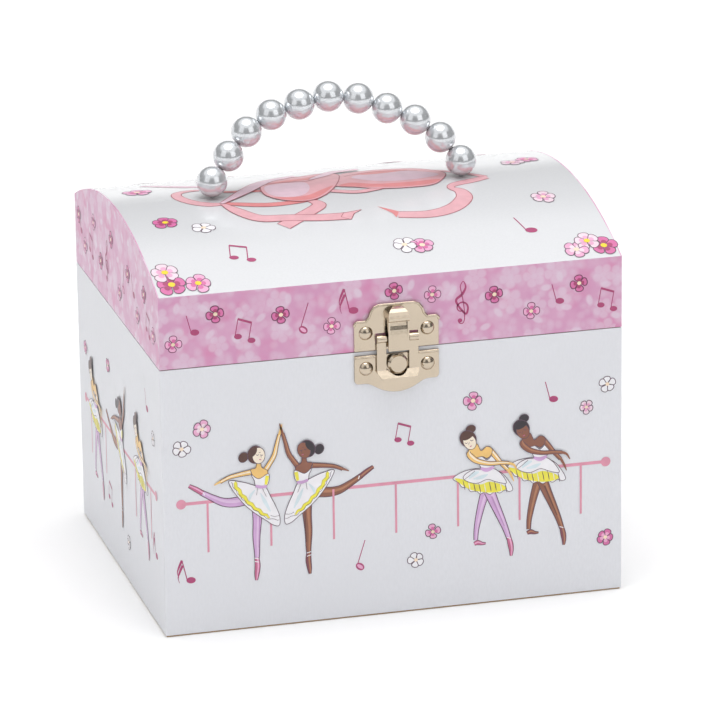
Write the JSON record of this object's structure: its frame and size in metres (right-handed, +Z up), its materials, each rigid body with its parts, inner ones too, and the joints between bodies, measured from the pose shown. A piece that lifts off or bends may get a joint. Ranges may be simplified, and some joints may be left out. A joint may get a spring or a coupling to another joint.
{
  "type": "ballerina musical jewellery box",
  "caption": "Dome-lidded paper-covered jewellery box with a bead handle and front latch; inside, a dancer turns on a wind-up comb movement beneath a lid mirror.",
  "frame": {"origin": "middle of the face the box stands on", "axes": "+Z up, -Y out of the front where the latch is, -X the box's left seen from the front"},
  "size_m": [0.165, 0.1572, 0.1727],
  "materials": {
    "board": "raw fibreboard, cut edges",
    "white_paper": "printed paper, light gloss, faint grain",
    "dome_paper": "printed paper, glossy",
    "pink_paper": "printed paper, soft blurred blossom pattern",
    "velvet": "flocked lining",
    "velvet_cover": "flocked lining over board",
    "satin_roll": "soft flocked foam rolls",
    "mirror_glass": "silvered glass",
    "nickel": "nickel plated pressed steel",
    "steel": "bright steel wire",
    "comb_steel": "ground spring steel",
    "blued_steel": "blued spring steel",
    "cast_plate": "cast zinc, lacquered",
    "brass": "turned brass",
    "pearl": "pearlescent lacquer over plastic",
    "painted_resin": "painted plastic figure",
    "tulle": "stiff net"
  },
  "bodies": {
    "base": {"bottom_panel": "board", "front_panel": "board", "back_panel": "board", "left_panel": "board", "right_panel": "board", "base_paper_wrap": "white_paper", "lining_floor": "velvet", "lining_walls": "velvet", "movement_cover": "velvet_cover", "compartment_dividers": "velvet_cover", "ring_shelf": "velvet_cover", "ring_rolls": "satin_roll", "hinge_leaves_base": "nickel", "hinge_pins": "steel", "hinge_nails_base": "nickel", "latch_lower_plate": "nickel", "latch_rivets_lower": "nickel", "latch_stud": "nickel", "movement_bedplate": "cast_plate", "movement_screws": "steel", "comb": "comb_steel", "comb_screws": "steel", "cylinder_bracket": "steel", "governor_frame": "steel", "key_escutcheon": "brass", "spindle_bush": "brass"},
    "lid": {"lid_front_panel": "board", "lid_back_panel": "board", "lid_left_end": "board", "lid_right_end": "board", "lid_dome_panel": "board", "lid_band_paper": "pink_paper", "lid_top_paper": "dome_paper", "lid_lining": "velvet", "mirror_board": "velvet_cover", "mirror": "mirror_glass", "hinge_leaves_lid": "nickel", "hinge_nails_lid": "nickel", "handle_wire": "steel", "handle_washers": "nickel", "handle_pearls": "pearl", "latch_upper_plate": "nickel", "latch_rivets_upper": "nickel"},
    "hasp": {"latch_hasp": "nickel"},
    "key": {"winding_key": "steel", "winding_arbor": "steel"},
    "barrel": {"spring_barrel": "brass", "barrel_cover": "brass", "mainspring": "blued_steel"},
    "cylinder": {"pinned_cylinder": "brass", "cylinder_gears": "brass"},
    "governor_wheel_body": {"governor_wheel": "brass"},
    "fan": {"governor_fan": "brass"},
    "dancer": {"ballerina_spindle": "steel", "ballerina_spring": "steel", "ballerina_figure": "painted_resin", "ballerina_tutu": "tulle"},
    "stop": {"stop_rod": "steel"}
  },
  "joints": [
    {"name": "lid_hinge", "type": "hinge", "parent": "base", "child": "lid", "pos_m": [0, 0.0684, 0.09715], "axis": [-1, 0, 0], "range_deg": [0, 100]},
    {"name": "hasp_hinge", "type": "hinge", "parent": "lid", "child": "hasp", "pos_m": [0.0011, -0.06815, 0.1016], "axis": [-1, 0, 0], "range_deg": [0, 150]},
    {"name": "key_turn", "type": "hinge", "parent": "base", "child": "key", "pos_m": [0, 0.07, 0.02], "axis": [0, 1, 0], "continuous": true},
    {"name": "barrel_turn", "type": "hinge", "parent": "base", "child": "barrel", "pos_m": [0, 0.055, 0.02], "axis": [0, 1, 0], "continuous": true},
    {"name": "cylinder_turn", "type": "hinge", "parent": "base", "child": "cylinder", "pos_m": [0, 0.0455, 0.044], "axis": [0, 0, 1], "continuous": true},
    {"name": "governor_turn", "type": "hinge", "parent": "base", "child": "governor_wheel_body", "pos_m": [-0.012, 0.0455, 0.05], "axis": [0, 0, 1], "continuous": true},
    {"name": "fan_turn", "type": "hinge", "parent": "base", "child": "fan", "pos_m": [-0.02239, 0.0515, 0.05], "axis": [0, 0, 1], "continuous": true},
    {"name": "dancer_turn", "type": "hinge", "parent": "base", "child": "dancer", "pos_m": [0, 0.0275, 0.064], "axis": [0, 0, 1], "continuous": true},
    {"name": "stop_rise", "type": "slide", "parent": "base", "child": "stop", "axis": [0, 0, 1], "range_m": [0, 0.004]}
  ],
  "couplings": [
    {"joint": "cylinder_turn", "follows": "barrel_turn", "ratio": -3},
    {"joint": "governor_turn", "follows": "barrel_turn", "ratio": 9},
    {"joint": "fan_turn", "follows": "barrel_turn", "ratio": -27},
    {"joint": "dancer_turn", "follows": "barrel_turn", "ratio": 3},
    {"joint": "stop_rise", "follows": "lid_hinge", "m_per_rad": 0.00229}
  ]
}
